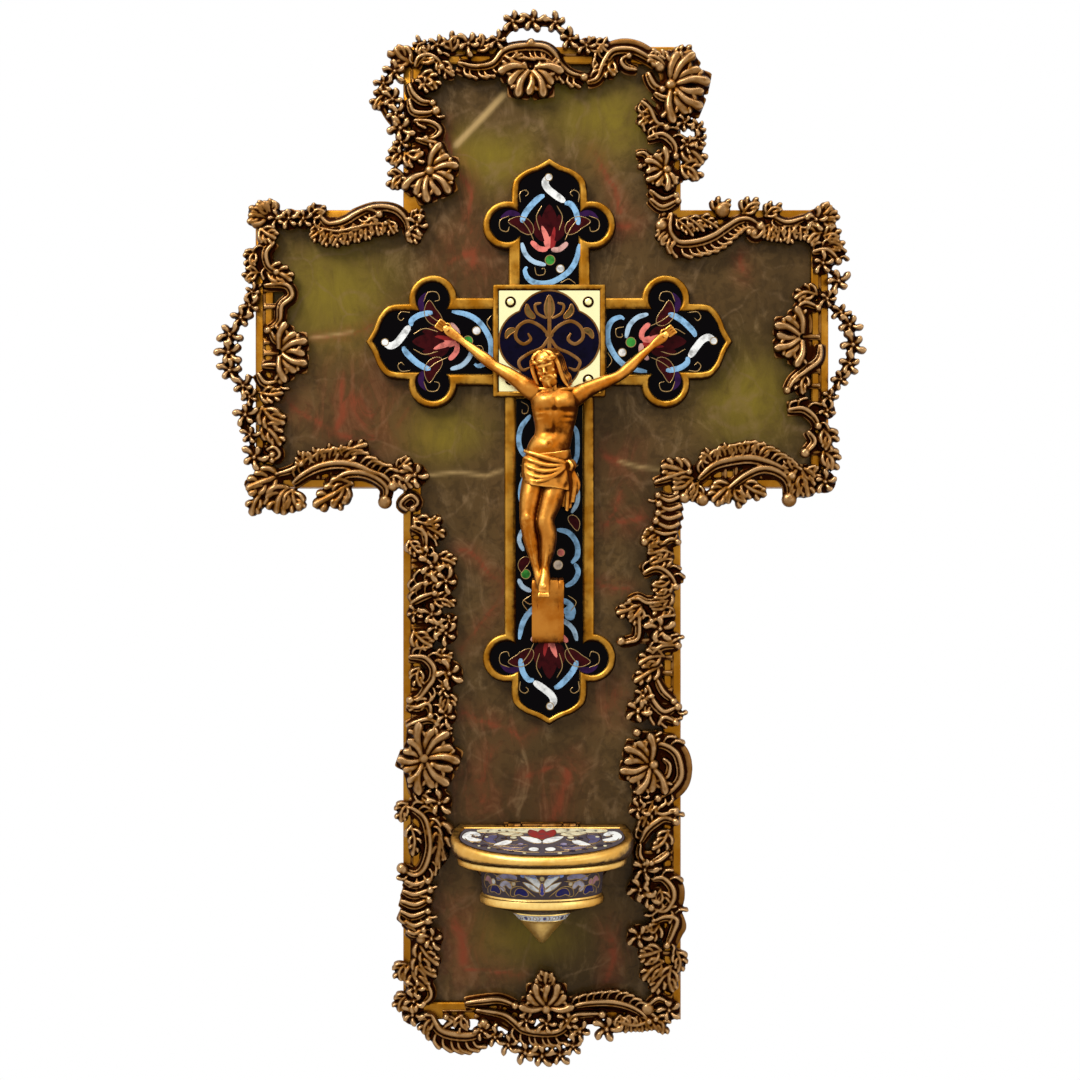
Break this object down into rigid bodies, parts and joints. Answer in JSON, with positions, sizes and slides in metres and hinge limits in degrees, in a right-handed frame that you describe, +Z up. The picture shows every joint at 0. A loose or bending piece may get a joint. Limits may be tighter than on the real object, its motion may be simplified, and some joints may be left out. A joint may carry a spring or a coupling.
{
  "type": "holy water stoup",
  "caption": "Wall-hung holy water stoup: onyx cross in a gilt scrollwork border with an enamelled crucifix above a half-round lidded bowl.",
  "frame": {"origin": "on the back face of the backing board, where the arms of the cross meet the shaft", "axes": "+X to the viewer's right, +Y into the wall, +Z up; the face looks along -Y"},
  "size_m": [0.29, 0.0625, 0.474],
  "materials": {
    "gilt_bronze": "cast, gilt and darkly patinated in the hollows",
    "gilt_brass": "gilt and polished",
    "onyx": "polished, veined",
    "board_wood": "dark stained",
    "steel_fixings": "plain",
    "blue_enamel": "fired champleve enamel, deep blue ground",
    "grey_enamel": "fired enamel, grey-violet ground"
  },
  "bodies": {
    "root": {"backing_board": "board_wood", "hanger_plate": "steel_fixings", "hanger_screw_left": "steel_fixings", "hanger_screw_right": "steel_fixings", "onyx_slab": "onyx", "crucifix_nut_upper": "steel_fixings", "crucifix_nut_lower": "steel_fixings", "stoup_nut_left": "steel_fixings", "stoup_nut_right": "steel_fixings", "edge_frame": "gilt_brass", "frame_screw_top": "gilt_brass", "frame_screw_arm_left": "gilt_brass", "frame_screw_arm_right": "gilt_brass", "frame_screw_shaft_left": "gilt_brass", "frame_screw_shaft_right": "gilt_brass", "frame_screw_bottom": "gilt_brass", "casting_top": "gilt_bronze", "casting_top_left": "gilt_bronze", "casting_top_right": "gilt_bronze", "casting_arm_left_top": "gilt_bronze", "casting_arm_left_end": "gilt_bronze", "casting_arm_left_bottom": "gilt_bronze", "casting_arm_right_top": "gilt_bronze", "casting_arm_right_end": "gilt_bronze", "casting_arm_right_bottom": "gilt_bronze", "casting_shaft_left_upper": "gilt_bronze", "casting_shaft_left_lower": "gilt_bronze", "casting_shaft_right_upper": "gilt_bronze", "casting_shaft_right_lower": "gilt_bronze", "casting_bottom": "gilt_bronze", "crucifix_plate": "gilt_brass", "enamel_top": "blue_enamel", "enamel_left": "blue_enamel", "enamel_bottom": "blue_enamel", "enamel_right": "blue_enamel", "center_plaque": "gilt_brass", "center_enamel": "blue_enamel", "plaque_pin_upper_left": "gilt_brass", "plaque_pin_upper_right": "gilt_brass", "plaque_pin_lower_left": "gilt_brass", "plaque_pin_lower_right": "gilt_brass", "corpus_body": "gilt_brass", "corpus_arm_left": "gilt_brass", "corpus_arm_right": "gilt_brass", "footrest": "gilt_brass", "nail_hand_left": "gilt_brass", "nail_hand_right": "gilt_brass", "nail_feet": "gilt_brass", "stoup_back_plate": "gilt_brass", "stoup_bowl": "gilt_brass", "bowl_enamel": "grey_enamel", "liner_cup": "gilt_brass", "finial": "gilt_brass", "finial_enamel": "grey_enamel", "hinge_pin": "gilt_brass"},
    "lid": {"lid": "gilt_brass", "lid_enamel": "grey_enamel"}
  },
  "joints": [
    {"name": "lid_hinge", "type": "hinge", "parent": "root", "child": "lid", "pos_m": [0, -0.0214, -0.215], "axis": [-1, 0, 0], "range_deg": [0, 70]}
  ]
}
